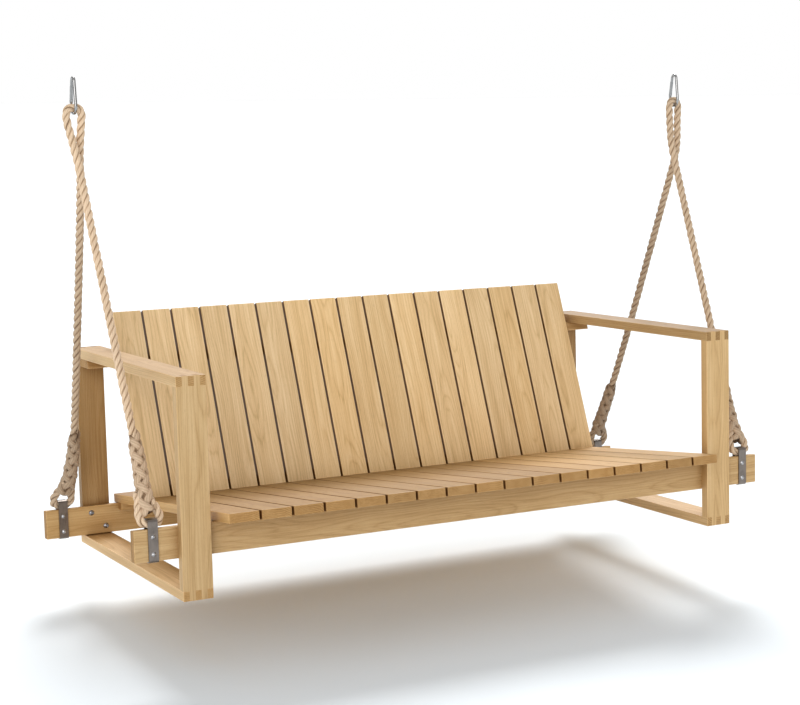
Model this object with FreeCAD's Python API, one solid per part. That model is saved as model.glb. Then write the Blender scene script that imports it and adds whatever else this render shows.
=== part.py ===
import FreeCAD, Part
import math
import os

# A wooden porch swing that hangs from two snap hooks. Millimetres, +Z up.
# World frame: X runs along the bench, Y from front to rear, and the origin is midway between the two
# points where ceiling hooks would hold the snap hooks. Hanging at rest, the bench leans back a little.
# Bench frame: the same X, with Y = 0 on the front face of the front posts and Z = 0 under the frames.

# Side frames
BOARD_WIDTH = 80.0
BOARD = 26.0
FRAME_OUTSIDE = 1696.0
FRAME_DEPTH = 837.0
FRAME_HEIGHT = 568.0
FINGERS = 5
FRAME_ROUND = 2.0

# Beams
BEAM = 25.0
BEAM_HEIGHT = 83.0
BEAM_OVERHANG = 116.0
FRONT_BEAM_TOP = 190.0
BEAM_ROUND = 2.5

# Seat and back
SLATS = 17
SLAT_PITCH = 88.4
SLAT_GAP = 6.0
SEAT_THICKNESS = 25.0
SEAT_FRONT = -71.0
SEAT_LENGTH = 902.0
SEAT_SLOPE = 5.87
BACK_FOOT = 566.0
BACK_LENGTH = 546.0
BACK_THICKNESS = 20.0
BACK_LEAN = 20.97
SLAT_ROUND = 2.0
BACK_RAIL_INSET = 7.5

# Hidden battens that tie the slats together
FRONT_CLEAT = (40.0, 78.0)
REAR_CLEAT = (25.0, 20.0)
BACK_BATTEN = (25.0, 30.0)

# Straps over the beams, for the ropes
STRAP = 3.0
STRAP_WIDTH = 26.0
STRAP_HOLE = 23.0
STRAP_ROUND = 7.0
STRAP_FROM_BEAM_END = 50.4
STRAP_SCREW_DEPTHS = (20.0, 64.0)

# Fasteners
SHAFT_CLEARANCE = 0.1
BOLT = 8.0
BOLT_HEAD = 16.0
BOLT_HEAD_HEIGHT = 4.8
BOLT_REACH = 18.0
BOLT_PLACES = ((18.0, 20.0), (60.0, 62.0))
STRAP_SCREW = 5.0
STRAP_SCREW_HEAD = 12.5
STRAP_SCREW_HEAD_HEIGHT = 3.2
STRAP_SCREW_REACH = 10.0
SLAT_SCREW = 4.0
SLAT_SCREW_HEAD = 8.0
SLAT_SCREW_HEAD_HEIGHT = 2.0
SLAT_SCREW_GRIP = 18.0
SLAT_SCREW_REACH = 14.0
POCKET = 45.0

# Hanging
HANG_X = 950.6
HANG_TILT = 3.0
HOOK_TO_AXIS = 69.0
AXIS_Y = 401.0
AXIS_Z = 1242.5

# Snap hooks: a pear of round wire, narrow at the top
WIRE = 8.0
BOTTOM_BOW = 19.5
TOP_BOW = 10.0
GATE = 9.0
GATE_FOOT = 6.0
GATE_LENGTH = 44.0
GATE_BORE = 5.0
TONGUE = 4.0
TONGUE_FIT = 0.3
TONGUE_REACH = 8.0
HINGE_TONGUE_WIDTH = 6.8
LATCH_TONGUE_WIDTH = 4.4
GATE_PIN = 3.0

# Ropes: the points of each route, from the spliced end at the front strap to the one at the rear strap
ROPE = 22.0
ROPE_BEND_SHARE = 0.45
LEFT_ROUTE = (
    (-936, -381, -1016),
    (-934, -389, -1035),
    (-941, -401, -1061),
    (-938.5, -416.6, -1091),
    (-888.5, -416.6, -1091),
    (-888, -402, -1060),
    (-911, -388, -1031),
    (-920.5, -322, -890),
    (-940.5, -22, -262),
    (-945, -12, -222),
    (-953, -9, -186),
    (-960.5, -6, -150),
    (-971, -2, -110),
    (-972, 0, -73),
    (-929.5, 0, -73),
    (-930, 3, -110),
    (-933.5, 5, -150),
    (-935, 8, -187),
    (-935.5, 12, -226),
    (-928.5, 24, -268),
    (-891, 270, -1006),
    (-890, 314, -1140),
    (-888, 326, -1176),
    (-888.5, 338.3, -1209),
    (-938.5, 338.3, -1209),
    (-940, 326, -1177),
    (-913, 317, -1150),
    (-911, 310, -1132),
)
RIGHT_ROUTE = (
    (929, -380, -1018),
    (929, -388, -1036),
    (940, -401, -1061),
    (938.5, -416.6, -1091),
    (888.5, -416.6, -1091),
    (888, -401, -1060),
    (906, -387, -1031),
    (918, -314, -868),
    (951, -18, -268),
    (942.5, -10, -224),
    (937, -7, -186),
    (935, -5, -150),
    (934, -2, -110),
    (934.3, 0, -73),
    (967, 0, -73),
    (967.5, 2, -110),
    (969, 4, -150),
    (972, 6, -186),
    (972.5, 10, -224),
    (968, 18, -268),
    (926, 262, -1003),
    (897, 312, -1142),
    (888, 326, -1176),
    (888.5, 338.3, -1209),
    (938.5, 338.3, -1209),
    (940, 326, -1177),
    (920, 317, -1149),
    (917, 311, -1131),
)
# Eye splices, measured from the throat of each eye along the standing part
SPLICE_RADII = (20.0, 18.5, 16.5)
SPLICE_LENGTHS = (150.0, 50.0)
SPLICE_START = -24.0

SEAT_TAN = math.tan(math.radians(SEAT_SLOPE))
BACK_TAN = math.tan(math.radians(BACK_LEAN))
BEAM_LENGTH = FRAME_OUTSIDE + 2 * BEAM_OVERHANG
SLAT_WIDTH = SLAT_PITCH - SLAT_GAP
SLATS_WIDTH = SLATS * SLAT_PITCH - SLAT_GAP
FRONT_BEAM_Y = BOARD
REAR_BEAM_Y = FRAME_DEPTH - BOARD - BEAM
REAR_POST_Y = FRAME_DEPTH - BOARD


def vec(x, y, z):
    return FreeCAD.Vector(x, y, z)


def seat_under(y):
    """Height of the underside of the seat above the frames' feet."""
    return FRONT_BEAM_TOP - SEAT_TAN * (y - FRONT_BEAM_Y)


def seat_top(y):
    return seat_under(y) + SEAT_THICKNESS / math.cos(math.radians(SEAT_SLOPE))


def box(x0, x1, y0, y1, z0, z1):
    return Part.makeBox(x1 - x0, y1 - y0, z1 - z0, vec(x0, y0, z0))


def prism(outline, x0, x1):
    """A solid from an outline of (y, z) points, extruded along X."""
    points = [vec(x0, y, z) for y, z in outline]
    face = Part.Face(Part.makePolygon(points + points[:1]))
    return face.extrude(vec(x1 - x0, 0, 0))


def rounded(shape, radius):
    return shape.makeFillet(radius, shape.Edges)


def hang(shape):
    """Moves a shape from the bench frame to where it hangs."""
    shape = shape.copy()
    shape.translate(vec(0, -AXIS_Y, -AXIS_Z))
    shape.rotate(vec(0, 0, 0), vec(1, 0, 0), -HANG_TILT)
    shape.translate(vec(0, 0, -HOOK_TO_AXIS))
    return shape


def mirrored(shape):
    return shape.mirror(vec(0, 0, 0), vec(1, 0, 0))


def fused(shapes):
    result = shapes[0]
    for shape in shapes[1:]:
        result = result.fuse(shape)
    return result.removeSplitter()


# Side frames


def frame_outside():
    """The rounded outside of the left side frame, which every board of it stays in."""
    x0 = -FRAME_OUTSIDE / 2
    return rounded(box(x0, x0 + BOARD_WIDTH, 0, FRAME_DEPTH, 0, FRAME_HEIGHT), FRAME_ROUND)


def finger_boxes(first, y0, y1, z0, z1):
    """Every second finger across the width of a board, from the one numbered first."""
    width = BOARD_WIDTH / FINGERS
    x0 = -FRAME_OUTSIDE / 2
    return [box(x0 + i * width, x0 + (i + 1) * width, y0, y1, z0, z1) for i in range(first, FINGERS, 2)]


def level_board(z0):
    """An armrest or bottom rail of the left frame, with the notches for the posts' fingers."""
    x0 = -FRAME_OUTSIDE / 2
    board = box(x0, x0 + BOARD_WIDTH, 0, FRAME_DEPTH, z0, z0 + BOARD)
    for y0 in (0, REAR_POST_Y):
        for notch in finger_boxes(1, y0, y0 + BOARD, z0, z0 + BOARD):
            board = board.cut(notch)
    return board.common(frame_outside())


def post(y0):
    """A front or rear post of the left frame, with its fingers at both ends."""
    x0 = -FRAME_OUTSIDE / 2
    board = box(x0, x0 + BOARD_WIDTH, y0, y0 + BOARD, BOARD, FRAME_HEIGHT - BOARD)
    fingers = finger_boxes(1, y0, y0 + BOARD, 0, FRAME_HEIGHT)
    return fused([board] + fingers).common(frame_outside())


# Beams, rails and battens


def beam(y0):
    """A beam whose top is planed to the slope of the seat."""
    y1 = y0 + BEAM
    bottom = seat_under(y0) - BEAM_HEIGHT
    outline = ((y0, bottom), (y1, bottom), (y1, seat_under(y1)), (y0, seat_under(y0)))
    return rounded(prism(outline, -BEAM_LENGTH / 2, BEAM_LENGTH / 2), BEAM_ROUND)


def back_face(z, behind):
    """Where the face of the back that lies behind its front face is at a height."""
    foot_z = seat_top(BACK_FOOT)
    return BACK_FOOT + BACK_TAN * (z - foot_z) + behind / math.cos(math.radians(BACK_LEAN))


def back_rail():
    """The flat board under the armrests that the back leans on, bevelled to the back."""
    z1 = FRAME_HEIGHT - BOARD
    z0 = z1 - BOARD
    outline = (
        (back_face(z0, BACK_THICKNESS), z0),
        (REAR_POST_Y, z0),
        (REAR_POST_Y, z1),
        (back_face(z1, BACK_THICKNESS), z1),
    )
    half = FRAME_OUTSIDE / 2 - BACK_RAIL_INSET
    return rounded(prism(outline, -half, half), FRAME_ROUND)


def seat_cleat(y0, size):
    """A batten under the seat, along a beam."""
    depth, height = size
    y1 = y0 + depth
    bottom = seat_under(y0) - height
    outline = ((y0, bottom), (y1, bottom), (y1, seat_under(y1)), (y0, seat_under(y0)))
    return prism(outline, -SLATS_WIDTH / 2, SLATS_WIDTH / 2)


def back_batten():
    """The batten on the seat behind the foot of the back."""
    depth, height = BACK_BATTEN
    up = back_up()
    behind = back_behind()
    foot_y = lower_foot_y()
    foot = vec(0, foot_y, seat_top(foot_y))
    top = foot + up * height
    outer = top + behind * depth
    seat = vec(0, math.cos(math.radians(SEAT_SLOPE)), -math.sin(math.radians(SEAT_SLOPE)))
    corner = foot + seat * (depth / seat.dot(behind))
    outline = [(p.y, p.z) for p in (foot, corner, outer, top)]
    return prism(outline, -SLATS_WIDTH / 2, SLATS_WIDTH / 2)


def back_up():
    lean = math.radians(BACK_LEAN)
    return vec(0, math.sin(lean), math.cos(lean))


def back_behind():
    """The direction straight out of the rear face of the back."""
    lean = math.radians(BACK_LEAN)
    return vec(0, math.cos(lean), -math.sin(lean))


def lower_foot_y():
    """Where the rear face of the back meets the top of the seat."""
    offset = BACK_THICKNESS / math.cos(math.radians(BACK_LEAN))
    return BACK_FOOT + offset / (1 + BACK_TAN * SEAT_TAN)


# Slats


def slat_left(index):
    return -SLATS_WIDTH / 2 + index * SLAT_PITCH


def seat_slat(index):
    """A seat slat, lying along the slope of the seat."""
    slat = rounded(Part.makeBox(SLAT_WIDTH, SEAT_LENGTH, SEAT_THICKNESS), SLAT_ROUND)
    slat.rotate(vec(0, 0, 0), vec(1, 0, 0), -SEAT_SLOPE)
    lift = SEAT_THICKNESS * math.sin(math.radians(SEAT_SLOPE))
    slat.translate(vec(slat_left(index), SEAT_FRONT - lift, seat_under(SEAT_FRONT - lift)))
    return slat


def back_slat(index):
    """A back slat, with its foot cut to stand on the seat."""
    below = BACK_THICKNESS
    slat = Part.makeBox(SLAT_WIDTH, BACK_THICKNESS, BACK_LENGTH + below, vec(0, 0, -below))
    slat = rounded(slat, SLAT_ROUND)
    slat.rotate(vec(0, 0, 0), vec(1, 0, 0), -BACK_LEAN)
    slat.translate(vec(slat_left(index), BACK_FOOT, seat_top(BACK_FOOT)))
    ground = Part.makeBox(SLAT_WIDTH * 2, SEAT_LENGTH, BACK_LENGTH)
    ground.translate(vec(-SLAT_WIDTH / 2, -SEAT_LENGTH / 2, -BACK_LENGTH))
    ground.rotate(vec(0, 0, 0), vec(1, 0, 0), -SEAT_SLOPE)
    ground.translate(vec(slat_left(index), BACK_FOOT, seat_top(BACK_FOOT)))
    return slat.cut(ground)


# Fasteners: each is made standing at the origin with its shaft along +Z and its head below


def dome_head(diameter, height, socket):
    """A domed head under z = 0 with a hexagon socket in its crown."""
    radius = (diameter * diameter / 4 + height * height) / (2 * height)
    ball = Part.makeSphere(radius, vec(0, 0, radius - height))
    head = ball.common(Part.makeCylinder(diameter, height, vec(0, 0, -height)))
    corners = [vec(socket / 2 * math.cos(a), socket / 2 * math.sin(a), -height) for a in hexagon_angles()]
    drive = Part.Face(Part.makePolygon(corners + corners[:1])).extrude(vec(0, 0, height * 0.55))
    return head.cut(drive)


def hexagon_angles():
    return [math.radians(60 * i) for i in range(6)]


def button_screw(shaft, reach, head, height, socket):
    return dome_head(head, height, socket).fuse(Part.makeCylinder(shaft / 2, reach))


def placed(shape, at, along):
    """Turns a shape's +Z to the direction along and moves its origin to at."""
    shape = shape.copy()
    turn = FreeCAD.Rotation(vec(0, 0, 1), along)
    shape.Placement = FreeCAD.Placement(at, turn)
    return shape


def bolt_sites():
    """The frame bolts' seats and directions: on the inner face of each beam, into the post."""
    sites = []
    for side in (-1, 1):
        for across, down in BOLT_PLACES:
            x = side * (FRAME_OUTSIDE / 2 - across)
            front_y = FRONT_BEAM_Y + BEAM
            front_top = seat_under(FRONT_BEAM_Y)
            rear_top = seat_under(REAR_BEAM_Y)
            sites.append((vec(x, front_y, front_top - down), vec(0, -1, 0)))
            sites.append((vec(x, REAR_BEAM_Y, rear_top - down), vec(0, 1, 0)))
    return sites


def strap_x(side):
    return side * (BEAM_LENGTH / 2 - STRAP_FROM_BEAM_END)


def strap_screw_sites():
    sites = []
    for side in (-1, 1):
        for beam_y in (FRONT_BEAM_Y, REAR_BEAM_Y):
            for down in STRAP_SCREW_DEPTHS:
                z = seat_under(beam_y) - down
                sites.append((vec(strap_x(side), beam_y - STRAP, z), vec(0, 1, 0)))
                sites.append((vec(strap_x(side), beam_y + BEAM + STRAP, z), vec(0, -1, 0)))
    return sites


def slat_screw_sites():
    """Where each slat screw's head sits, its direction, and how deep a bore leads to its head.

    Each column of slats has two up through the seat cleats, one through the batten behind the back,
    and one that goes slantwise through the back rail from below.
    """
    slope = math.radians(SEAT_SLOPE)
    seat_up = vec(0, math.sin(slope), math.cos(slope))
    behind = back_behind()
    rail_z = FRAME_HEIGHT - 1.5 * BOARD
    batten_z = seat_top(lower_foot_y()) + BACK_BATTEN[1] / 2
    sites = []
    for index in range(SLATS):
        x = slat_left(index) + SLAT_WIDTH / 2
        for y0, size in cleat_places():
            y = y0 + size[0] / 2
            head = vec(x, y, seat_under(y)) - seat_up * SLAT_SCREW_GRIP
            sites.append((head, seat_up, size[1]))
        for z, bore in ((batten_z, BACK_BATTEN[0]), (rail_z, POCKET)):
            head = vec(x, back_face(z, BACK_THICKNESS), z) + behind * SLAT_SCREW_GRIP
            sites.append((head, behind * -1, bore))
    return sites


def cleat_places():
    front_y = FRONT_BEAM_Y + BEAM
    rear_y = REAR_BEAM_Y - REAR_CLEAT[0]
    return ((front_y, FRONT_CLEAT), (rear_y, REAR_CLEAT))


def slat_screw():
    """A countersunk screw, its head's flat at z = 0."""
    head = Part.makeCone(SLAT_SCREW_HEAD / 2, SLAT_SCREW / 2, SLAT_SCREW_HEAD_HEIGHT)
    return head.fuse(Part.makeCylinder(SLAT_SCREW / 2, SLAT_SCREW_GRIP + SLAT_SCREW_REACH))


def slat_screw_hole(bore):
    wide = SLAT_SCREW_HEAD / 2 + SHAFT_CLEARANCE
    narrow = SLAT_SCREW / 2 + SHAFT_CLEARANCE
    mouth = Part.makeCylinder(wide, bore, vec(0, 0, -bore))
    head = Part.makeCone(wide, narrow, SLAT_SCREW_HEAD_HEIGHT)
    shaft = Part.makeCylinder(narrow, SLAT_SCREW_GRIP + SLAT_SCREW_REACH + SHAFT_CLEARANCE)
    return mouth.fuse(head).fuse(shaft)


def slat_screws_and_holes():
    screws, holes = [], []
    for at, along, bore in slat_screw_sites():
        screws.append(placed(slat_screw(), at, along))
        holes.append(placed(slat_screw_hole(bore), at, along))
    return screws, holes


def shaft_hole(diameter, depth):
    return Part.makeCylinder(diameter / 2 + SHAFT_CLEARANCE, depth + SHAFT_CLEARANCE)


# Straps


def strap(side, beam_y):
    """A flat band bent into a closed loop round a beam, standing up above it for the rope's eye."""
    y0, y1 = beam_y, beam_y + BEAM
    z0 = seat_under(y0) - BEAM_HEIGHT
    z1 = seat_under((y0 + y1) / 2) + STRAP_HOLE
    x0 = strap_x(side) - STRAP_WIDTH / 2
    x1 = x0 + STRAP_WIDTH
    outer = box(x0, x1, y0 - STRAP, y1 + STRAP, z0 - STRAP, z1 + STRAP)
    outer = outer.makeFillet(STRAP_ROUND, long_edges(outer))
    inner = box(x0 - 1, x1 + 1, y0, y1, z0, z1)
    inner = inner.makeFillet(BEAM_ROUND, long_edges(inner))
    return outer.cut(inner)


def long_edges(shape):
    """The edges of a box that run along X."""
    return [e for e in shape.Edges if abs(e.tangentAt(e.FirstParameter).x) > 0.99]


# Ropes


def rope_path(route):
    """Straight runs joined by tangent arcs, each as large as its two runs allow."""
    points = [vec(*p) for p in route]
    edges = []
    radii = []
    start = points[0]
    for before, corner, after in zip(points, points[1:], points[2:]):
        into = (corner - before).normalize()
        out = (after - corner).normalize()
        turn = into.getAngle(out)
        cut = ROPE_BEND_SHARE * min((corner - before).Length, (after - corner).Length)
        radius = cut / math.tan(turn / 2)
        radii.append(radius)
        arc_start = corner - into * cut
        arc_end = corner + out * cut
        inward = (out - into).normalize()
        middle = corner + inward * (math.hypot(cut, radius) - radius)
        edges.append(Part.LineSegment(start, arc_start).toShape())
        edges.append(Part.Arc(arc_start, middle, arc_end).toShape())
        start = arc_end
    edges.append(Part.LineSegment(start, points[-1]).toShape())
    return Part.Wire(edges), radii


def tube(path, radius):
    start = path.Edges[0]
    along = start.tangentAt(start.FirstParameter)
    ring = Part.Wire(Part.makeCircle(radius, start.valueAt(start.FirstParameter), along))
    return path.makePipeShell([ring], True, False)


def rope(name, route):
    path, radii = rope_path(route)
    solid = tube(path, ROPE / 2)
    expected = math.pi * ROPE * ROPE / 4 * path.Length
    print(f"{name}: length {path.Length:.0f} mm, volume {solid.Volume / expected:.4f} of section x length")
    print("  radii " + " ".join(f"{r:.0f}" for r in radii))
    return solid, path


def splice(route, path, throat, top, tail):
    """The thick spliced part above an eye, with the rope's own way through it."""
    base = vec(*route[throat])
    along = (vec(*route[top]) - base).normalize()
    base = base + along * SPLICE_START
    aside = vec(*route[tail]) - base
    aside = (aside - along * aside.dot(along)).normalize() * (SPLICE_RADII[0] - ROPE / 2 - 2)
    low = Part.makeCone(SPLICE_RADII[0], SPLICE_RADII[1], SPLICE_LENGTHS[0], base + aside, along)
    upper_at = base + along * SPLICE_LENGTHS[0] + aside
    high = Part.makeCone(SPLICE_RADII[1], SPLICE_RADII[2], SPLICE_LENGTHS[1], upper_at, along)
    body = low.fuse(high)
    return body.cut(tube(path, ROPE / 2 + SHAFT_CLEARANCE))


# Snap hooks: made in the XZ plane round the hanging point, with the gate on the +X side


def hook_numbers():
    """The centres of the two bows and the tangent line between them on the gate's side."""
    top_z = WIRE / 2 - TOP_BOW
    low_z = -HOOK_TO_AXIS
    lean = math.asin((BOTTOM_BOW - TOP_BOW) / (top_z - low_z))
    return top_z, low_z, lean


def gate_line():
    """The foot of the gate's tangent line and its direction, both in the XZ plane."""
    _, low_z, lean = hook_numbers()
    foot = vec(BOTTOM_BOW * math.cos(lean), 0, low_z + BOTTOM_BOW * math.sin(lean))
    return foot, vec(-math.sin(lean), 0, math.cos(lean))


def hook_outline():
    """The wire's centre line, from the gate's foot round the bottom, up the spine and over the top."""
    top_z, low_z, lean = hook_numbers()
    foot, up = gate_line()
    c, s = math.cos(lean), math.sin(lean)
    spine_low = vec(-BOTTOM_BOW * c, 0, low_z + BOTTOM_BOW * s)
    spine_high = vec(-TOP_BOW * c, 0, top_z + TOP_BOW * s)
    gate_high = vec(TOP_BOW * c, 0, top_z + TOP_BOW * s)
    hinge = foot + up * GATE_FOOT
    latch = foot + up * (GATE_FOOT + GATE_LENGTH)
    return Part.Wire(
        [
            Part.LineSegment(hinge, foot).toShape(),
            Part.Arc(foot, vec(0, 0, low_z - BOTTOM_BOW), spine_low).toShape(),
            Part.LineSegment(spine_low, spine_high).toShape(),
            Part.Arc(spine_high, vec(0, 0, top_z + TOP_BOW), gate_high).toShape(),
            Part.LineSegment(gate_high, latch).toShape(),
        ]
    )


def tongue(at, direction, reach, width):
    """A flat tongue that goes on from the wire into the gate's slot."""
    block = Part.makeBox(width, TONGUE, reach + 2, vec(-width / 2, -TONGUE / 2, -2))
    return placed(block, at, direction)


def hook_body():
    foot, up = gate_line()
    hinge_end = foot + up * GATE_FOOT
    latch_end = foot + up * (GATE_FOOT + GATE_LENGTH)
    body = tube(hook_outline(), WIRE / 2)
    body = body.fuse(tongue(hinge_end, up, TONGUE_REACH, HINGE_TONGUE_WIDTH))
    body = body.fuse(tongue(latch_end, up * -1, TONGUE_REACH - 2, LATCH_TONGUE_WIDTH))
    pin = hinge_end + up * (TONGUE_REACH - 3.5)
    hole = Part.makeCylinder(GATE_PIN / 2, 3 * WIRE, vec(pin.x, -1.5 * WIRE, pin.z), vec(0, 1, 0))
    return body.cut(hole).removeSplitter()


def gate():
    """The sprung gate: a sleeve with a fork at its foot and a slot at its head."""
    foot, up = gate_line()
    start = foot + up * (GATE_FOOT + TONGUE_FIT)
    length = GATE_LENGTH - 2 * TONGUE_FIT
    sleeve = Part.makeCylinder(GATE / 2, length)
    sleeve = sleeve.cut(Part.makeCylinder(GATE_BORE / 2, length - 22, vec(0, 0, 11)))
    slot = TONGUE / 2 + TONGUE_FIT
    sleeve = sleeve.cut(box(-GATE, GATE, -slot, slot, -1, TONGUE_REACH + 1))
    latch_x = -LATCH_TONGUE_WIDTH / 2 - TONGUE_FIT
    sleeve = sleeve.cut(box(latch_x, GATE, -slot, slot, length - TONGUE_REACH + 1, length + 1))
    pin_at = TONGUE_REACH - 3.5 - TONGUE_FIT
    hole_radius = GATE_PIN / 2 + SHAFT_CLEARANCE / 2
    hole = Part.makeCylinder(hole_radius, 2 * GATE, vec(0, -GATE, pin_at), vec(0, 1, 0))
    trim = Part.makeCylinder(GATE / 2, 2 * GATE, vec(0, -GATE, GATE / 2), vec(0, 1, 0))
    lower = box(-GATE, GATE, -GATE, GATE, -1, GATE / 2)
    sleeve = sleeve.cut(lower.cut(trim)).cut(hole)
    return placed(sleeve, start, up)


def gate_pin():
    foot, up = gate_line()
    at = foot + up * (GATE_FOOT + TONGUE_REACH - 3.5)
    half = GATE / 2 + 0.4
    return Part.makeCylinder(GATE_PIN / 2, 2 * half, vec(at.x, -half, at.z), vec(0, 1, 0))


def hung(shape, side):
    """Turns a snap hook's piece so that its gate is at the rear, on the left (-1) or right (1) side."""
    shape = shape.copy()
    shape.rotate(vec(0, 0, 0), vec(0, 0, 1), 90)
    shape.translate(vec(side * HANG_X, 0, 0))
    return shape


# The assembly


def cut_all(shape, tools):
    """Cuts the tools that reach into the shape's box."""
    near = [t for t in tools if shape.BoundBox.intersect(t.BoundBox)]
    return shape.cut(near) if near else shape


def bench():
    """Every piece of the bench by name, in the bench frame."""
    bolt_hole = shaft_hole(BOLT, BEAM + BOLT_REACH)
    bolt_holes = [placed(bolt_hole, at, along) for at, along in bolt_sites()]
    strap_hole = shaft_hole(STRAP_SCREW, STRAP + STRAP_SCREW_REACH)
    strap_holes = [placed(strap_hole, at, along) for at, along in strap_screw_sites()]
    screws, screw_holes = slat_screws_and_holes()
    front = cut_all(post(0), bolt_holes)
    rear = cut_all(post(REAR_POST_Y), bolt_holes)
    armrest = level_board(FRAME_HEIGHT - BOARD)
    rail = level_board(0)
    pieces = {}
    boards = (("front_post", front), ("rear_post", rear), ("armrest", armrest), ("bottom_rail", rail))
    for name, shape in boards:
        pieces[name + "_left"] = shape
        pieces[name + "_right"] = mirrored(shape)
    pieces["front_beam"] = cut_all(beam(FRONT_BEAM_Y), bolt_holes + strap_holes)
    pieces["rear_beam"] = cut_all(beam(REAR_BEAM_Y), bolt_holes + strap_holes)
    pieces["back_rail"] = cut_all(back_rail(), screw_holes)
    battens = [seat_cleat(y0, size) for y0, size in cleat_places()] + [back_batten()]
    pieces["battens"] = Part.makeCompound([cut_all(b, screw_holes) for b in battens])
    for i in range(SLATS):
        pieces[f"seat_slat_{i + 1:02d}"] = cut_all(seat_slat(i), screw_holes)
        pieces[f"back_slat_{i + 1:02d}"] = cut_all(back_slat(i), screw_holes)
    for side, name in ((-1, "straps_left"), (1, "straps_right")):
        pair = [cut_all(strap(side, y), strap_holes) for y in (FRONT_BEAM_Y, REAR_BEAM_Y)]
        pieces[name] = Part.makeCompound(pair)
    bolt = button_screw(BOLT, BEAM + BOLT_REACH, BOLT_HEAD, BOLT_HEAD_HEIGHT, 6.0)
    pieces["frame_bolts"] = Part.makeCompound([placed(bolt, at, along) for at, along in bolt_sites()])
    strap_screw = button_screw(
        STRAP_SCREW, STRAP + STRAP_SCREW_REACH, STRAP_SCREW_HEAD, STRAP_SCREW_HEAD_HEIGHT, 4.0
    )
    placed_screws = [placed(strap_screw, at, along) for at, along in strap_screw_sites()]
    pieces["strap_screws"] = Part.makeCompound(placed_screws)
    pieces["slat_screws"] = Part.makeCompound(screws)
    return pieces


def hanging():
    """The ropes, their splices and the snap hooks by name, where they hang."""
    pieces = {}
    splices = []
    for name, route in (("rope_left", LEFT_ROUTE), ("rope_right", RIGHT_ROUTE)):
        pieces[name], path = rope(name, route)
        splices.append(splice(route, path, 6, 7, 0))
        splices.append(splice(route, path, -7, -8, -1))
    pieces["eye_splices"] = Part.makeCompound(splices)
    for side, name in ((-1, "left"), (1, "right")):
        pieces["snap_hook_" + name] = hung(hook_body(), side)
        pieces["snap_gate_" + name] = hung(gate(), side)
    pieces["gate_pins"] = Part.makeCompound([hung(gate_pin(), side) for side in (-1, 1)])
    return pieces


def main():
    os.makedirs("parts", exist_ok=True)
    pieces = {name: hang(shape) for name, shape in bench().items()}
    pieces.update(hanging())
    for name, shape in pieces.items():
        if not shape.isValid():
            print(f"{name} is not valid")
        shape.exportStep(os.path.join("parts", name + ".step"))
    print(f"{len(pieces)} nodes")


main()
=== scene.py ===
import math
import random

import bpy
import numpy as np
from mathutils import Matrix, Vector


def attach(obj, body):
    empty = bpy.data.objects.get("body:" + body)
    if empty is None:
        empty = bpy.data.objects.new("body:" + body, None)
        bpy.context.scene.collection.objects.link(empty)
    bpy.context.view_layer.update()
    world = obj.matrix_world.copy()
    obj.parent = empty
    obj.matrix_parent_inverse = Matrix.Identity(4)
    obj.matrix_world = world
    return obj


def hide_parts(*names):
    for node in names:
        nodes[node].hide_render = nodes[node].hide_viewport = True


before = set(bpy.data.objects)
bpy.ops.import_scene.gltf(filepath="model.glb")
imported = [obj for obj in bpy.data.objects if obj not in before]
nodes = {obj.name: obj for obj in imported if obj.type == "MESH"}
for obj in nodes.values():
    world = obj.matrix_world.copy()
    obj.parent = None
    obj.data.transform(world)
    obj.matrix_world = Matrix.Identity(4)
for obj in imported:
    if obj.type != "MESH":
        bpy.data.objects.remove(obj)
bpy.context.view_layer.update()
scene = bpy.context.scene

# ---------------------------------------------------------------- camera
# Angles round the swing from straight in front, and up
AZIMUTH = math.radians(-27.53)
ELEVATION = math.radians(9.13)
CAMERA_PLACE = Vector((-2.3831, -4.5776, 0.0435))
LENS = 81.3
back = Vector((
    math.sin(AZIMUTH) * math.cos(ELEVATION),
    -math.cos(AZIMUTH) * math.cos(ELEVATION),
    math.sin(ELEVATION),
))
right = Vector((math.cos(AZIMUTH), math.sin(AZIMUTH), 0.0))
up = back.cross(right)
camera = bpy.data.objects.new("camera", bpy.data.cameras.new("camera"))
scene.collection.objects.link(camera)
camera.matrix_world = Matrix((
    (right.x, up.x, back.x, CAMERA_PLACE.x),
    (right.y, up.y, back.y, CAMERA_PLACE.y),
    (right.z, up.z, back.z, CAMERA_PLACE.z),
    (0.0, 0.0, 0.0, 1.0),
))
camera.data.sensor_fit = "HORIZONTAL"
camera.data.sensor_width = 36.0
camera.data.lens = LENS
camera.data.clip_end = 200.0
scene.camera = camera

# ---------------------------------------------------------------- ropes
# A rope is three strands, and LAY is how far each goes along it in a turn. From the first to the second
# of the PROUD distances from the rope's line, a strand's surface comes out of the groove's painted shade
ROPE = 0.0226
STRAND = ROPE * 0.252
LAY = 0.0675
ROPE_PROUD = (ROPE * 0.29, ROPE * 0.45)
ROPE_STEP = 0.0030
RING = 16
LEFT_ROUTE = (
    (-0.936, -0.381, -1.016), (-0.934, -0.389, -1.035), (-0.941, -0.401, -1.061),
    (-0.9385, -0.4166, -1.091), (-0.8885, -0.4166, -1.091), (-0.888, -0.402, -1.060),
    (-0.911, -0.388, -1.031), (-0.9205, -0.322, -0.890), (-0.9405, -0.022, -0.262),
    (-0.945, -0.012, -0.222), (-0.953, -0.009, -0.186), (-0.9605, -0.006, -0.150),
    (-0.971, -0.002, -0.110), (-0.972, 0.000, -0.073), (-0.9295, 0.000, -0.073),
    (-0.930, 0.003, -0.110), (-0.9335, 0.005, -0.150), (-0.935, 0.008, -0.187),
    (-0.9355, 0.012, -0.226), (-0.9285, 0.024, -0.268), (-0.891, 0.270, -1.006),
    (-0.890, 0.314, -1.140), (-0.888, 0.326, -1.176), (-0.8885, 0.3383, -1.209),
    (-0.9385, 0.3383, -1.209), (-0.940, 0.326, -1.177), (-0.913, 0.317, -1.150),
    (-0.911, 0.310, -1.132),
)
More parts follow.
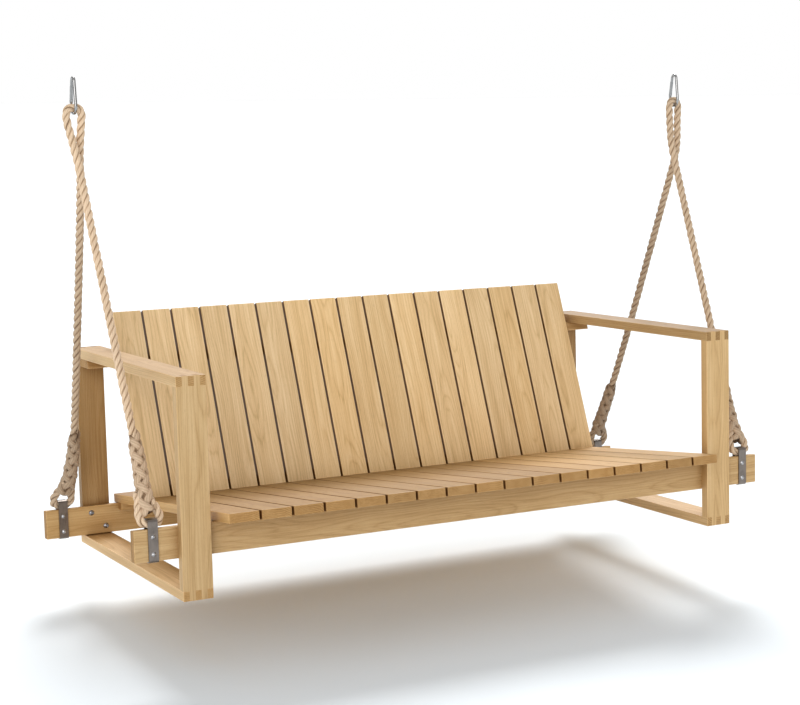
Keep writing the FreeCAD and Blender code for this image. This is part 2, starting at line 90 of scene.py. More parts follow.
RIGHT_ROUTE = (
    (0.929, -0.380, -1.018), (0.929, -0.388, -1.036), (0.940, -0.401, -1.061),
    (0.9385, -0.4166, -1.091), (0.8885, -0.4166, -1.091), (0.888, -0.401, -1.060),
    (0.906, -0.387, -1.031), (0.918, -0.314, -0.868), (0.951, -0.018, -0.268),
    (0.9425, -0.010, -0.224), (0.937, -0.007, -0.186), (0.935, -0.005, -0.150),
    (0.934, -0.002, -0.110), (0.9343, 0.000, -0.073), (0.967, 0.000, -0.073),
    (0.9675, 0.002, -0.110), (0.969, 0.004, -0.150), (0.972, 0.006, -0.186),
    (0.9725, 0.010, -0.224), (0.968, 0.018, -0.268), (0.926, 0.262, -1.003),
    (0.897, 0.312, -1.142), (0.888, 0.326, -1.176), (0.8885, 0.3383, -1.209),
    (0.9385, 0.3383, -1.209), (0.940, 0.326, -1.177), (0.920, 0.317, -1.149),
    (0.917, 0.311, -1.131),
)

# An eye splice starts some steps of the rope's line below the throat, and its strands, which turn and
# weave round a core, are flattened and draw in towards its top
SPLICE_STEPS_BELOW = 10
SPLICE_LENGTH = 0.218
SPLICE_TURN = 0.114
SPLICE_ORBIT = 0.0130
SPLICE_DRAWS_IN = 0.0016
SPLICE_STRAND = 0.0091
SPLICE_FLATTENED = 0.36
SPLICE_WEAVE = 0.0026
# From the first to the second of these distances, a splice strand comes out of the groove's painted shade
SPLICE_PROUD = (0.0110, 0.0176)
SPLICE_CORE = 0.0126
CORE_THINS = 0.0030
# It leans towards the eye's other leg, most of all at its foot, and is wider that way
TAIL_STEPS = 14
LEAN_FROM = 0.012
LEAN_LENGTH = 0.125
LEAN = 0.0125
LEAN_SPREAD = 0.0040
FOOT_LENGTH = 0.040
FOOT = 0.0090
FOOT_SPREAD = 0.0060


def spline_line(name, route):
    """The points that Blender gives for a NURBS spline with the route's points as control points."""
    curve = bpy.data.curves.new(name, "CURVE")
    curve.dimensions = "3D"
    spline = curve.splines.new("NURBS")
    spline.points.add(len(route) - 1)
    for point, place in zip(spline.points, route):
        point.co = (*place, 1.0)
    spline.order_u = 3
    spline.use_endpoint_u = True
    spline.resolution_u = 24
    holder = bpy.data.objects.new(name, curve)
    mesh = bpy.data.meshes.new_from_object(holder)
    points = np.array([v.co[:] for v in mesh.vertices])
    bpy.data.objects.remove(holder)
    bpy.data.meshes.remove(mesh)
    bpy.data.curves.remove(curve)
    return points


def arc_lengths(points):
    return np.concatenate(([0.0], np.cumsum(np.linalg.norm(np.diff(points, axis=0), axis=1))))


def even_line(points, step):
    """The same line with points at even distances."""
    along = arc_lengths(points)
    at = np.linspace(0.0, along[-1], int(round(along[-1] / step)) + 1)
    return np.stack([np.interp(at, along, points[:, i]) for i in range(3)], axis=1), at


def frames_along(points):
    """Tangents and two directions across them that don't spin along the line."""
    tangents = np.gradient(points, axis=0)
    tangents /= np.linalg.norm(tangents, axis=1)[:, None]
    first = np.cross(tangents[0], (0.3, 0.2, 0.9))
    first /= np.linalg.norm(first)
    sides = [first]
    for t in tangents[1:]:
        s = sides[-1] - t * np.dot(sides[-1], t)
        sides.append(s / np.linalg.norm(s))
    sides = np.array(sides)
    return tangents, sides, np.cross(tangents, sides)


def tube_grid(line, radii, ring, flat=None):
    """Rings of points round a line. flat, if given, is (directions, share): rings are thinner that way."""
    _, sides, others = frames_along(line)
    turn = np.linspace(0.0, 2 * math.pi, ring, endpoint=False)
    across = sides[:, None, :] * np.cos(turn)[None, :, None]
    offsets = across + others[:, None, :] * np.sin(turn)[None, :, None]
    if flat is not None:
        directions, share = flat
        reach = np.einsum("nrk,nk->nr", offsets, directions)
        offsets = offsets - directions[:, None, :] * (reach * share)[:, :, None]
    return line[:, None, :] + offsets * radii[:, None, None]


def proud(grid, core, low, high):
    """How far each point stands out from a core line: 0 at the low distance and 1 at the high one."""
    away = np.linalg.norm(grid - core[:, None, :], axis=2)
    return np.clip((away - low) / (high - low), 0.0, 1.0)


def tube_mesh(name, tubes):
    """One mesh of several closed tubes, each (ring points, distance along, strand number, how proud)."""
    points, faces, uvs, shades, heights = [], [], [], [], []
    start = 0
    for grid, along, number, height in tubes:
        count, ring = grid.shape[:2]
        points.append(grid.reshape(-1, 3))
        heights.append(height.ravel())
        index = np.arange(count * ring).reshape(count, ring) + start
        a, b = index[:-1], index[1:]
        quads = np.stack([a, np.roll(a, -1, 1), np.roll(b, -1, 1), b], axis=-1).reshape(-1, 4)
        faces += quads.tolist()
        v0 = np.arange(ring) / ring
        v = np.stack([v0, v0 + 1 / ring, v0 + 1 / ring, v0], axis=-1)[None].repeat(count - 1, 0)
        u = np.stack([along[:-1], along[:-1], along[1:], along[1:]], axis=-1)[:, None].repeat(ring, 1)
        uvs.append(np.stack([u, v], axis=-1).reshape(-1, 2))
        faces.append(index[0][::-1].tolist())
        faces.append(index[-1].tolist())
        uvs.append(np.stack([np.full(2 * ring, along[0]), np.zeros(2 * ring)], axis=-1))
        shades.append(np.full(count * ring, number))
        start += count * ring
    mesh = bpy.data.meshes.new(name)
    mesh.from_pydata(np.concatenate(points).tolist(), [], faces)
    layer = mesh.uv_layers.new(name="strand")
    layer.data.foreach_set("uv", np.concatenate(uvs).ravel())
    for key, values in (("tone", shades), ("proud", heights)):
        mesh.attributes.new(key, "FLOAT", "POINT").data.foreach_set("value", np.concatenate(values))
    mesh.polygons.foreach_set("use_smooth", [True] * len(mesh.polygons))
    mesh.update()
    piece = bpy.data.objects.new(name, mesh)
    scene.collection.objects.link(piece)
    return piece


def wandering(rng, at, size, knots):
    """A number that wanders round 0 along a line."""
    return np.interp(at, np.linspace(0, at[-1], knots), rng.normal(0, size, knots))


def laid_rope(name, line, phase, seed):
    """A rope of three strands laid round a line, each a little uneven."""
    rng = np.random.default_rng(seed)
    orbit = ROPE / 2 - STRAND
    fine, at = even_line(line, ROPE_STEP)
    _, sides, others = frames_along(fine)
    tubes = []
    for k in range(3):
        wander = wandering(rng, at, 0.08, 60)
        turn = phase + 2 * math.pi * (at / LAY + k / 3) + wander
        out = sides * np.cos(turn)[:, None] + others * np.sin(turn)[:, None]
        swell = 1 + wandering(rng, at, 0.02, 180)
        path = fine + out * (orbit * swell)[:, None]
        grid = tube_grid(path, STRAND * swell, RING)
        tubes.append((grid, at, k / 3, proud(grid, fine, *ROPE_PROUD)))
    return tube_mesh(name, tubes), fine, at


def near(line, point):
    return int(np.argmin(np.linalg.norm(line - np.array(point), axis=1)))


def splice_tubes(fine, at, throat, step, tail, seed):
    """Flat tucked strands, plaited over and under each other round a core, from an eye up its rope.

    They start between the eye's two legs and lean less and less towards the tail. step is the way along
    fine that leads up from the throat.
    """
    rng = np.random.default_rng(seed)
    first = near(fine, throat) - step * SPLICE_STEPS_BELOW
    count = int(SPLICE_LENGTH / (at[1] - at[0]))
    index = first + step * np.arange(0, count)
    line = fine[index]
    along = np.abs(at[index] - at[first])
    tangents, sides, others = frames_along(line)
    aside = np.array(tail) - line[TAIL_STEPS]
    aside = aside - tangents * (tangents @ aside)[:, None]
    aside /= np.linalg.norm(aside, axis=1)[:, None]
    lean = np.clip(1 - (along - LEAN_FROM) / LEAN_LENGTH, 0, 1) ** 1.4
    foot = np.clip(1 - along / FOOT_LENGTH, 0, 1)
    line = line + aside * (lean * LEAN + foot * FOOT)[:, None]
    share = along / along[-1]
    core = tube_grid(line[3:-6], SPLICE_CORE - CORE_THINS * share[3:-6], RING)
    # The core lies partway in the grooves' painted shade
    tubes = [(core, along[3:-6], 0.0, np.full(core.shape[:2], 0.30))]
    for way in (1, -1):
        for k in range(3):
            phase = rng.uniform(-0.14, 0.14)
            turn = way * 2 * math.pi * along / SPLICE_TURN + 2 * math.pi * k / 3 + phase
            weave = way * np.cos(3 * 2 * math.pi * along / SPLICE_TURN)
            end = 0.91 + 0.08 * rng.uniform(-1, 1)
            taper = np.clip((end - share) / 0.09, 0.0, 1.0) ** 0.5
            start = np.clip(share / 0.06, 0.0, 1.0) ** 0.5
            full = (0.72 + 0.28 * taper) * (0.80 + 0.20 * start)
            orbit = (SPLICE_ORBIT - SPLICE_DRAWS_IN * share) * full
            out = sides * np.cos(turn)[:, None] + others * np.sin(turn)[:, None]
            spread = lean * LEAN_SPREAD * start + foot * FOOT_SPREAD
            wide = aside * (np.sum(out * aside, axis=1) * spread)[:, None]
            path = line + out * (orbit + SPLICE_WEAVE * weave * taper * start)[:, None] + wide
            lumps = 1 + wandering(rng, along, 0.045, 14)
            radii = SPLICE_STRAND * (1 - 0.14 * share) * (0.30 + 0.70 * taper) * (0.55 + 0.45 * start) * lumps
            keep = share <= min(1.0, end + 0.04)
            grid = tube_grid(path[keep], radii[keep], RING, (out[keep], SPLICE_FLATTENED))
            height = proud(grid, line[keep] + wide[keep], *SPLICE_PROUD)
            tubes.append((grid, along[keep], k / 6, height))
    return tubes


def make_rope(side, route, phase, seed):
    line = spline_line("route_" + side, route)
    rope, fine, at = laid_rope("rope_laid_" + side, line, phase, seed)
    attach(rope, "swing")
    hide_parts("rope_" + side)
    tubes = splice_tubes(fine, at, route[6], 1, route[0], seed + 1)
    tubes += splice_tubes(fine, at, route[-7], -1, route[-1], seed + 2)
    return rope, tubes


rope_left, tubes_left = make_rope("left", LEFT_ROUTE, 0.4, 11)
rope_right, tubes_right = make_rope("right", RIGHT_ROUTE, 1.9, 31)
splices = tube_mesh("splices", tubes_left + tubes_right)
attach(splices, "swing")
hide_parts("eye_splices")


# ---------------------------------------------------------------- material helpers
class Tree:
    """A short way to write a node tree."""

    def __init__(self, name):
        self.material = bpy.data.materials.new(name)
        self.material.use_nodes = True
        self.tree = self.material.node_tree
        self.shader = self.tree.nodes["Principled BSDF"]

    def node(self, kind, inputs=None, **settings):
        n = self.tree.nodes.new(kind)
        for key, value in settings.items():
            setattr(n, key, value)
        for key, value in (inputs or {}).items():
            self.put(n.inputs[key], value)
        return n

    def put(self, socket, value):
        if isinstance(value, bpy.types.NodeSocket):
            self.tree.links.new(value, socket)
        else:
            socket.default_value = value

    def math(self, operation, a, b=0.0, c=0.0):
        n = self.node("ShaderNodeMath", operation=operation)
        for socket, value in zip(n.inputs, (a, b, c)):
            self.put(socket, value)
        return n.outputs[0]

    def vector(self, operation, a, b=(0, 0, 0)):
        n = self.node("ShaderNodeVectorMath", operation=operation)
        self.put(n.inputs[0], a)
        self.put(n.inputs[1], b)
        return n.outputs["Value"] if operation in ("LENGTH", "DOT_PRODUCT") else n.outputs["Vector"]

    def noise(self, vector, scale, detail=2.0, roughness=0.5):
        inputs = {"Vector": vector, "Scale": scale, "Detail": detail, "Roughness": roughness}
        n = self.node("ShaderNodeTexNoise", inputs)
        return n.outputs["Fac"], n.outputs["Color"]

    def grained(self, vector, along, across, detail=2.0, roughness=0.5):
        """Noise drawn out along a board, with its scales along the grain and across it."""
        return self.noise(self.vector("MULTIPLY", vector, (along, across, across)), 1.0, detail, roughness)

    def ramp(self, value, stops):
        n = self.node("ShaderNodeValToRGB", {"Fac": value})
        elements = n.color_ramp.elements
        while len(elements) < len(stops):
            elements.new(0.5)
        for element, (at, colour) in zip(elements, stops):
            element.position = at
            if not hasattr(colour, "__len__"):
                colour = (colour, colour, colour)
            element.color = (*colour, 1.0)
        return n.outputs["Color"]

    def band(self, value, low, high, to_low=0.0, to_high=1.0):
        n = self.node(
            "ShaderNodeMapRange",
            {"Value": value, "From Min": low, "From Max": high, "To Min": to_low, "To Max": to_high},
            interpolation_type="SMOOTHSTEP",
        )
        return n.outputs["Result"]

    def mix(self, factor, a, b, blend="MIX"):
        n = self.node("ShaderNodeMix", data_type="RGBA", blend_type=blend)
        self.put(n.inputs["Factor"], factor)
        self.put(n.inputs["A"], a if isinstance(a, bpy.types.NodeSocket) else (*a, 1.0))
        self.put(n.inputs["B"], b if isinstance(b, bpy.types.NodeSocket) else (*b, 1.0))
        return n.outputs["Result"]

    def brighter(self, colour, amount):
        """colour times a grey value."""
        grey = self.node("ShaderNodeCombineColor", {"Red": amount, "Green": amount, "Blue": amount})
        return self.mix(1.0, colour, grey.outputs["Color"], "MULTIPLY")

    def bump(self, height, distance, strength=1.0):
        n = self.node("ShaderNodeBump", {"Height": height, "Distance": distance, "Strength": strength})
        return n.outputs["Normal"]

    def finish(self, **inputs):
        for key, value in inputs.items():
            self.put(self.shader.inputs[key.replace("_", " ")], value)
        return self.material


def paint(piece, material):
    piece.data.materials.clear()
    piece.data.materials.append(material)


def repaint(node, material):
    """Gives a CAD node a material without touching its mesh."""
    piece = nodes[node]
    for slot in piece.material_slots:
        slot.link = "OBJECT"
        slot.material = material


# ---------------------------------------------------------------- wood
# The frame hangs tilted back by HANG, and the slats of the seat and back lean further
HANG = math.radians(3.0)
SEAT = HANG + math.radians(5.87)
BACK = HANG + math.radians(20.97)
SLATS = 17
RING_WIDTH = 0.0043
# Dark, middling and pale oak, each with how far the reddest board goes from it
TANS = (
    ((0.455, 0.275, 0.108), (0.018, 0.0, -0.008)),
    ((0.612, 0.398, 0.183), (0.014, 0.0, -0.010)),
    ((0.715, 0.500, 0.262), (0.010, 0.0, -0.012)),
)
# What the board's colour is multiplied by: in the end grain, and as painted shade beside a neighbour and in
# nooks
END_DARK = (0.46, 0.37, 0.26)
END_MIDDLE = (0.68, 0.60, 0.48)
END_PALE = (0.75, 0.67, 0.55)
GAP_SHADE = (0.33, 0.235, 0.125)
NOOK_SHADE = (0.62, 0.53, 0.40)
NOOK_REACH = 0.11
# A board is paler and smoother all over within EDGE_FULL of an edge, and not at all beyond EDGE_WIDTH
EDGE_FULL = 0.0005
EDGE_WIDTH = 0.0038
EDGE_RAGGED = 0.0018
# Painted shadow of the back on the seat slats' upper faces, and painted light on its right end. Counted from
# the left, the shadow is full up to the first slat count below, and gives way to the light over the second
SEAT_SHADOW = (0.58, 0.51, 0.37)
SEAT_LIGHT = (1.10, 1.10, 1.08)
SHADOWED_SLATS = 10.5
SHADOW_FADES = 4
# Painted shade on the armrests' upper faces
ARM_TOP_SHADE = (0.74, 0.67, 0.57)


def along_y(tilt):
    return Vector((0, math.cos(tilt), -math.sin(tilt)))


def along_z(tilt):
    return Vector((0, math.sin(tilt), math.cos(tilt)))


def board_axes(grain, width):
    grain = grain.normalized()
    width = (width - grain * width.dot(grain)).normalized()
    return Matrix((grain, width, grain.cross(width))).transposed()


def half_sizes(node, axes):
    """A board's centre and half its length, width and thickness, measured from its corners."""
    corners = np.array([v.co[:] for v in nodes[node].data.vertices])
    local = corners @ np.array(axes)
    low, high = local.min(0), local.max(0)
    centre = np.array(axes) @ ((low + high) / 2)
    return centre, (high - low) / 2


def oak_tones(rng, tone, shade_warmth):
    """A board's dark, middling and pale colours. Boards differ a little in hue and in lightness; tone and
    warmth also carry painted light and shade per part.
    """
    hue = rng.uniform(-1, 1)
    light = rng.uniform(-1, 1) * 0.070
    level = tone * (1 + light)
    tint = (level, level * (1 - 0.10 * shade_warmth), level * (1 - 0.27 * shade_warmth))
    return [tuple((c + hue * r) * m for c, r, m in zip(tan, redder, tint)) for tan, redder in TANS]


def oak_figure(t, rng, local, moved):
    """The grain: growth rings round a pith beside the board, and fibres, clouds and pores along it."""
    _, slow = t.grained(moved, 2.1, 7.0, 1.0)
    sway = t.vector("MULTIPLY", t.vector("SUBTRACT", slow, (0.5, 0.5, 0.5)), (0.0, 0.055, 0.055))
    pith = (0.0, rng.uniform(-0.05, 0.05), rng.choice((-1, 1)) * rng.uniform(0.03, 0.09))
    flat = t.vector("MULTIPLY", local, (rng.uniform(-0.03, 0.03), 1.0, 1.0))
    radius = t.vector("LENGTH", t.vector("SUBTRACT", t.vector("ADD", flat, sway), pith))
    uneven, _ = t.grained(moved, 3.0, 60.0)
    phase = t.math("ADD", t.math("DIVIDE", radius, RING_WIDTH), t.math("MULTIPLY", uneven, 1.4))
    ring_stops = ((0.0, 0.0), (0.16, 0.75), (0.45, 1.0), (0.86, 0.62), (1.0, 0.0))
    ring = t.ramp(t.math("FRACT", phase), ring_stops)
    year, _ = t.noise(t.node("ShaderNodeCombineXYZ", {"X": t.math("FLOOR", phase)}).outputs[0], 3.7, 0.0)

    streak, _ = t.grained(moved, 5.0, 300.0, 3.0, 0.6)
    wide, _ = t.grained(moved, 1.8, 42.0)
    cloud, _ = t.grained(moved, 5.0, 14.0, 3.0)
    pore, _ = t.grained(moved, 75.0, 1500.0, 1.0)
    pores = t.band(pore, 0.60, 0.72)

    value = t.math("MULTIPLY", ring, t.math("MULTIPLY_ADD", year, 0.10, 0.10))
    value = t.math("ADD", value, t.math("MULTIPLY", streak, 0.50))
    value = t.math("ADD", value, t.math("MULTIPLY", wide, 0.42))
    value = t.math("ADD", value, t.math("MULTIPLY", cloud, 0.16))
    return value, ring, streak, pores


def shaded_sides(t, colour, normal, axes, gaps, top_shade):
    """The board's colour, with painted shade on the sides beside a neighbour and painted shadow and light on
    the face that lies upwards.
    """
    across = t.vector("DOT_PRODUCT", normal, tuple(axes.col[1]))
    for shaded, way in zip(gaps, (-1.0, 1.0)):
        if shaded:
            dusk = t.band(t.math("MULTIPLY", across, way), 0.45, 0.90)
            colour = t.mix(dusk, colour, GAP_SHADE, "MULTIPLY")
    # Painted shadow and light on the face that lies upwards
    if top_shade:
        lying = t.math("ABSOLUTE", t.vector("DOT_PRODUCT", normal, tuple(axes.col[2])))
        upper = t.node("ShaderNodeSeparateXYZ", {"Vector": normal}).outputs["Z"]
        upward_face = t.math("MULTIPLY", t.band(lying, 0.75, 0.97), t.band(upper, 0.75, 0.97))
        colour = t.mix(upward_face, colour, top_shade, "MULTIPLY")
    return colour


def edge_band(t, local, moved, half):
    """1 along the board's edges, raggedly, and 0 elsewhere."""
    sides = t.node("ShaderNodeSeparateXYZ", {"Vector": local})
    a, b, c = (
        t.math("SUBTRACT", float(h), t.math("ABSOLUTE", sides.outputs[i])) for i, h in enumerate(half)
    )
    # The middle one of the distances to three faces is the distance to the nearest edge
    inner = t.math("MAXIMUM", t.math("MINIMUM", a, b), t.math("MINIMUM", t.math("MAXIMUM", a, b), c))
    ragged, _ = t.grained(moved, 40.0, 90.0)
    inner = t.math("MULTIPLY_ADD", ragged, EDGE_RAGGED, t.math("SUBTRACT", inner, EDGE_RAGGED / 2))
    return t.band(inner, EDGE_WIDTH, EDGE_FULL)


def wood(node, grain, width, seed, tone, shade_warmth, gaps=(False, False), top_shade=None):
    """Oiled oak with darker end grain, paler edges and painted shade in the nooks where boards meet.

    gaps says on which sides across its width, first the lower then the upper, a neighbour shades it.
    The last argument, if given, is painted shadow and light multiplied into a face that lies upwards.
    """
    rng = random.Random(seed)
    axes = board_axes(grain, width)
    centre, half = half_sizes(node, axes)
    t = Tree("oak_" + node)
    where = t.node("ShaderNodeTexCoord")
    turned = tuple(axes.to_euler("XYZ"))
    local = t.node(
        "ShaderNodeMapping",
        {"Vector": where.outputs["Object"], "Location": tuple(centre), "Rotation": turned},
        vector_type="TEXTURE",
    ).outputs["Vector"]
    moved = t.vector("ADD", local, tuple(rng.uniform(-9, 9) for _ in range(3)))

    value, ring, streak, pores = oak_figure(t, rng, local, moved)
    dark, middle, pale = oak_tones(rng, tone, shade_warmth)
    colour = t.ramp(value, ((0.42, dark), (0.63, middle), (0.83, pale)))
    colour = t.mix(t.math("MULTIPLY", pores, 0.30), colour, tuple(c * 0.62 for c in dark))

    normal = where.outputs["Normal"]
    end = t.math("ABSOLUTE", t.vector("DOT_PRODUCT", normal, tuple(axes.col[0])))
    end = t.band(end, 0.55, 0.85)
    end_ring = t.ramp(ring, ((0.0, END_DARK), (0.5, END_MIDDLE), (1.0, END_PALE)))
    colour = t.mix(end, colour, end_ring, "MULTIPLY")
    colour = shaded_sides(t, colour, normal, axes, gaps, top_shade)
    edge = edge_band(t, local, moved, half)
    colour = t.brighter(colour, t.math("MULTIPLY_ADD", edge, 0.10, 1.0))
    # Painted shade in nooks: darker where other surfaces are near
    nook = t.node("ShaderNodeAmbientOcclusion", {"Distance": NOOK_REACH}, samples=6).outputs["AO"]
    colour = t.mix(t.band(nook, 0.90, 0.35), colour, NOOK_SHADE, "MULTIPLY")

    rough = t.math("MULTIPLY_ADD", streak, 0.22, 0.42)
    rough = t.math("SUBTRACT", t.math("MULTIPLY_ADD", end, 0.14, rough), t.math("MULTIPLY", edge, 0.07))
    height = t.math("ADD", t.math("MULTIPLY", streak, 0.6), t.math("MULTIPLY", ring, 0.25))
    height = t.math("SUBTRACT", height, t.math("MULTIPLY", pores, 0.5))
    t.put(t.shader.inputs["Specular IOR Level"], 0.30)
    return t.finish(Base_Color=colour, Roughness=rough, Normal=t.bump(height, 0.00035, 0.6))


X = Vector((1, 0, 0))
# Each part's tone and warmth scale its oak: partly the wood's own lightness, partly painted light and shade.
# The back slats are painted lit and paler; the rear posts and beams painted shaded and more saturated, and
# the right armrest darker than the left as painted shade
for n, name in enumerate(("left", "right")):
    for j, (kind, tone, shade_warmth) in enumerate((("front_post", 0.93, 0.0), ("rear_post", 0.56, 0.7))):
        node = f"{kind}_{name}"
        repaint(node, wood(node, along_z(HANG), X, 100 + 10 * n + j, tone, shade_warmth))
    for j, (kind, tone, shade_warmth, top_shade) in enumerate((
        ("armrest", 0.90 - 0.16 * n, 0.0, ARM_TOP_SHADE),
        ("bottom_rail", 1.02, 0.1, None),
    )):
        node = f"{kind}_{name}"
        repaint(node, wood(node, along_y(HANG), X, 140 + 10 * n + j, tone, shade_warmth, top_shade=top_shade))
for j, node in enumerate(("front_beam", "rear_beam")):
    repaint(node, wood(node, X, along_z(HANG), 170 + j, 0.80, 0.50))
repaint("back_rail", wood("back_rail", X, along_y(HANG), 175, 0.95, 0.4))
repaint("battens", wood("battens", X, along_z(HANG), 177, 0.90, 0.4))
for i in range(SLATS):
    node = f"seat_slat_{i + 1:02d}"
    gaps = (i > 0, i < SLATS - 1)
    # Painted shadow of the back on the left slats' tops, giving way to painted light on the right ones
    lit_share = min(max((i - SHADOWED_SLATS) / SHADOW_FADES, 0.0), 1.0)
    top_shade = tuple(w + (f - w) * lit_share for w, f in zip(SEAT_SHADOW, SEAT_LIGHT))
    repaint(node, wood(node, along_y(SEAT), X, 200 + i, 0.92, 0.6, gaps=gaps, top_shade=top_shade))
    node = f"back_slat_{i + 1:02d}"
    repaint(node, wood(node, along_z(BACK), X, 300 + i, 1.22, -0.5, gaps=gaps))


# ---------------------------------------------------------------- rope fibre
# YARNS lie side by side round a strand, and TWIST of them pass in a metre along it
YARNS = 7.0
TWIST = 95.0
GROOVE_SHADE_DEEP = (0.29, 0.23, 0.17)
GROOVE_SHADE_MIDDLE = (0.69, 0.63, 0.56)


def fibre(name, dark, light):
    """Spun strands: yarns that twist along each strand, with fuzz, uneven colour and painted shade in the
    grooves.
    """
    t = Tree(name)
    where = t.node("ShaderNodeTexCoord").outputs["Object"]
    uv = t.node("ShaderNodeUVMap", uv_map="strand").outputs["UV"]
    parts = t.node("ShaderNodeSeparateXYZ", {"Vector": uv})
    u, v = parts.outputs["X"], parts.outputs["Y"]
    tone = t.node("ShaderNodeAttribute", attribute_name="tone").outputs["Fac"]
    wobble, _ = t.noise(where, 260.0, 2.0)
    turns = t.math("ADD", t.math("MULTIPLY", v, YARNS), t.math("MULTIPLY", u, TWIST))
    turns = t.math("ADD", turns, t.math("MULTIPLY", wobble, 0.7))
    yarn = t.math("PINGPONG", turns, 0.5)
    yarn = t.math("MULTIPLY", yarn, 2.0)
    hair, _ = t.noise(where, 900.0, 3.0, 0.7)
    patch, _ = t.noise(where, 22.0, 3.0)
    value = t.math("MULTIPLY", yarn, 0.34)
    value = t.math("ADD", value, t.math("MULTIPLY", hair, 0.34))
    value = t.math("ADD", value, t.math("MULTIPLY", patch, 0.34))
    value = t.math("ADD", value, t.math("MULTIPLY", tone, 0.05))
    middle = tuple((a + 2 * b) / 3 for a, b in zip(dark, light))
    colour = t.ramp(value, ((0.16, dark), (0.50, middle), (0.84, light)))
    proud = t.node("ShaderNodeAttribute", attribute_name="proud").outputs["Fac"]
    # Painted shade in the grooves between strands, by how proud a point stands
    groove_shade = t.ramp(proud, ((0.08, GROOVE_SHADE_DEEP), (0.50, GROOVE_SHADE_MIDDLE), (1.0, 1.0)))
    colour = t.mix(1.0, colour, groove_shade, "MULTIPLY")
    # Painted shade: the rear legs, and the whole of the right rope, are darker
    place = t.node("ShaderNodeSeparateXYZ", {"Vector": where})
    rear = t.band(place.outputs["Y"], -0.03, 0.10, 1.0, 0.68)
    far = t.band(place.outputs["X"], -0.2, 0.2, 1.0, 0.80)
    colour = t.brighter(colour, t.math("MULTIPLY", rear, far))
    height = t.math("ADD", t.math("MULTIPLY", yarn, 0.8), t.math("MULTIPLY", hair, 0.5))
    rough = t.math("MULTIPLY_ADD", hair, 0.14, 0.78)
    t.put(t.shader.inputs["Specular IOR Level"], 0.25)
    t.put(t.shader.inputs["Sheen Weight"], 0.06)
    t.put(t.shader.inputs["Sheen Roughness"], 0.6)
    return t.finish(Base_Color=colour, Roughness=rough, Normal=t.bump(height, 0.0006, 0.8))


rope_fibre = fibre("rope_fibre", (0.41, 0.275, 0.162), (0.88, 0.665, 0.462))
splice_fibre = fibre("splice_fibre", (0.31, 0.207, 0.120), (0.69, 0.505, 0.345))
paint(rope_left, rope_fibre)
paint(rope_right, rope_fibre)
paint(splices, splice_fibre)


# ---------------------------------------------------------------- metal
def steel(name, colour, rough, stretch, scratch, dark=0.62):
    """Brushed or polished steel, with fine lines one way, faint stains and rubbed patches."""
    t = Tree(name)
    where = t.node("ShaderNodeTexCoord").outputs["Object"]
    lines, _ = t.noise(t.vector("MULTIPLY", where, stretch), 1.0, 4.0, 0.65)
    stain, _ = t.noise(where, 45.0, 4.0, 0.6)
    rub, _ = t.noise(where, 160.0, 2.0)
    low = tuple(c * dark for c in colour)
    value = t.math("ADD", t.math("MULTIPLY", lines, 0.45), t.math("MULTIPLY", stain, 0.55))
    tint = t.ramp(value, ((0.30, low), (0.52, colour), (0.75, tuple(min(1.0, c * 1.12) for c in colour))))
    roughness = t.math("MULTIPLY_ADD", lines, 0.16, rough)
    roughness = t.math("MULTIPLY_ADD", t.band(rub, 0.45, 0.7), 0.08, roughness)
    t.put(t.shader.inputs["Metallic"], 1.0)
    return t.finish(Base_Color=tint, Roughness=roughness, Normal=t.bump(lines, scratch, 0.5))


strap_steel = steel("strap_steel", (0.225, 0.190, 0.165), 0.24, (900.0, 900.0, 28.0), 0.00012)
screw_steel = steel("screw_steel", (0.42, 0.41, 0.41), 0.20, (500.0, 500.0, 500.0), 0.00006)
bolt_steel = steel("bolt_steel", (0.34, 0.33, 0.34), 0.24, (400.0, 400.0, 400.0), 0.00006)
hook_steel = steel("hook_steel", (0.37, 0.365, 0.36), 0.07, (300.0, 300.0, 60.0), 0.00005, 0.75)
gate_steel = steel("gate_steel", (0.33, 0.325, 0.32), 0.10, (400.0, 400.0, 60.0), 0.00005, 0.75)
for side in ("left", "right"):
    repaint("straps_" + side, strap_steel)
    repaint("snap_hook_" + side, hook_steel)
    repaint("snap_gate_" + side, gate_steel)
repaint("gate_pins", screw_steel)
repaint("strap_screws", screw_steel)
repaint("slat_screws", screw_steel)
repaint("frame_bolts", bolt_steel)

# ---------------------------------------------------------------- floor, sky and lamps
FLOOR = -1.48
FLOOR_REACH = 60
floor_mesh = bpy.data.meshes.new("floor")
corners = [(x * FLOOR_REACH, y * FLOOR_REACH, FLOOR) for x, y in ((-1, -1), (1, -1), (1, 1), (-1, 1))]
floor_mesh.from_pydata(corners, [], [(0, 1, 2, 3)])
floor = bpy.data.objects.new("floor", floor_mesh)
scene.collection.objects.link(floor)
ground = Tree("floor")
ground.put(ground.shader.inputs["Specular IOR Level"], 0.1)
floor_grain, _ = ground.noise(ground.node("ShaderNodeTexCoord").outputs["Object"], 3.0, 2.0)
floor_colour = ground.ramp(floor_grain, ((0.3, (0.875, 0.930, 0.970)), (0.7, (0.890, 0.945, 0.985))))
paint(floor, ground.finish(Base_Color=floor_colour, Roughness=0.9))


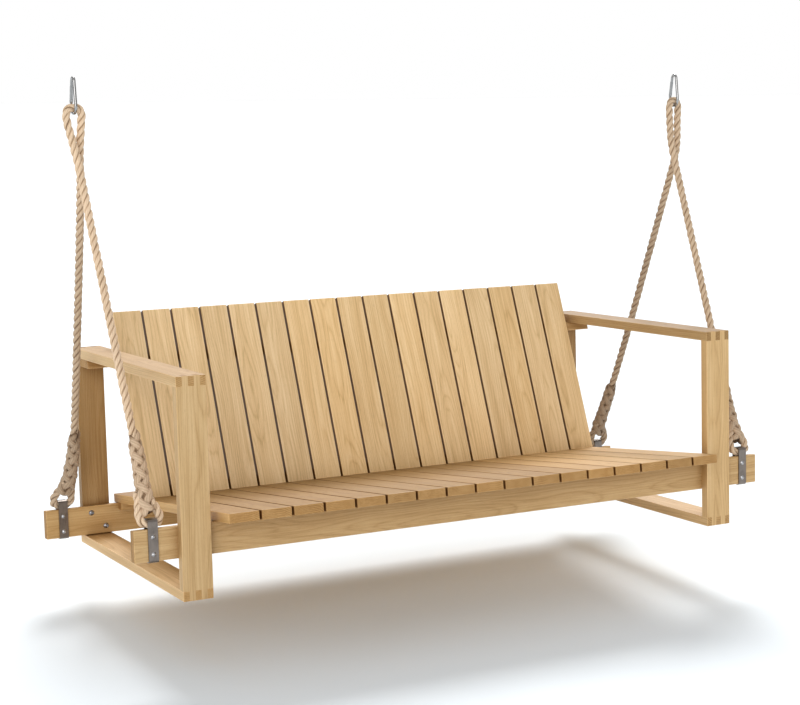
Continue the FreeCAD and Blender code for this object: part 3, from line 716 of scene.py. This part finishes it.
def lamp(name, kind, strength, toward, **settings):
    data = bpy.data.lights.new(name, kind)
    data.energy = strength
    for key, value in settings.items():
        setattr(data, key, value)
    holder = bpy.data.objects.new(name, data)
    holder.rotation_euler = Vector(toward).to_track_quat("-Z", "Y").to_euler()
    scene.collection.objects.link(holder)
    return holder


lamp("beyond", "SUN", 2.75, (-0.50, -0.95, -1.0), angle=math.radians(27))
lamp("fill", "SUN", 1.85, (0.62, 0.84, -0.20), angle=math.radians(50))

world = bpy.data.worlds.new("studio")
scene.world = world
world.use_nodes = True
# The sky's light is stronger from above and weak from the front left, and a camera sees it plain white
sky = world.node_tree
background = sky.nodes["Background"]
background.inputs["Color"].default_value = (1, 1, 1, 1)
rays = sky.nodes.new("ShaderNodeLightPath")
direction = sky.nodes.new("ShaderNodeTexCoord")


def sky_band(way, low, high, at_low, at_high):
    """A number that changes across the sky, by how far a direction leans towards way."""
    lean = sky.nodes.new("ShaderNodeVectorMath")
    lean.operation = "DOT_PRODUCT"
    sky.links.new(direction.outputs["Generated"], lean.inputs[0])
    lean.inputs[1].default_value = way
    band = sky.nodes.new("ShaderNodeMapRange")
    band.interpolation_type = "SMOOTHSTEP"
    sky.links.new(lean.outputs["Value"], band.inputs["Value"])
    for name, value in zip(("From Min", "From Max", "To Min", "To Max"), (low, high, at_low, at_high)):
        band.inputs[name].default_value = value
    return band.outputs["Result"]


shade = sky.nodes.new("ShaderNodeMath")
shade.operation = "MULTIPLY"
sky.links.new(sky_band((0, 0, 1), -0.1, 0.9, 0.48, 0.66), shade.inputs[0])
sky.links.new(sky_band((-0.46, -0.87, 0.10), 0.70, 0.96, 1.0, 0.30), shade.inputs[1])
choose = sky.nodes.new("ShaderNodeMix")
sky.links.new(rays.outputs["Is Camera Ray"], choose.inputs["Factor"])
sky.links.new(shade.outputs["Value"], choose.inputs["A"])
choose.inputs["B"].default_value = 1.0
sky.links.new(choose.outputs["Result"], background.inputs["Strength"])

scene.view_settings.view_transform = "Standard"
scene.view_settings.look = "None"

bpy.context.view_layer.update()
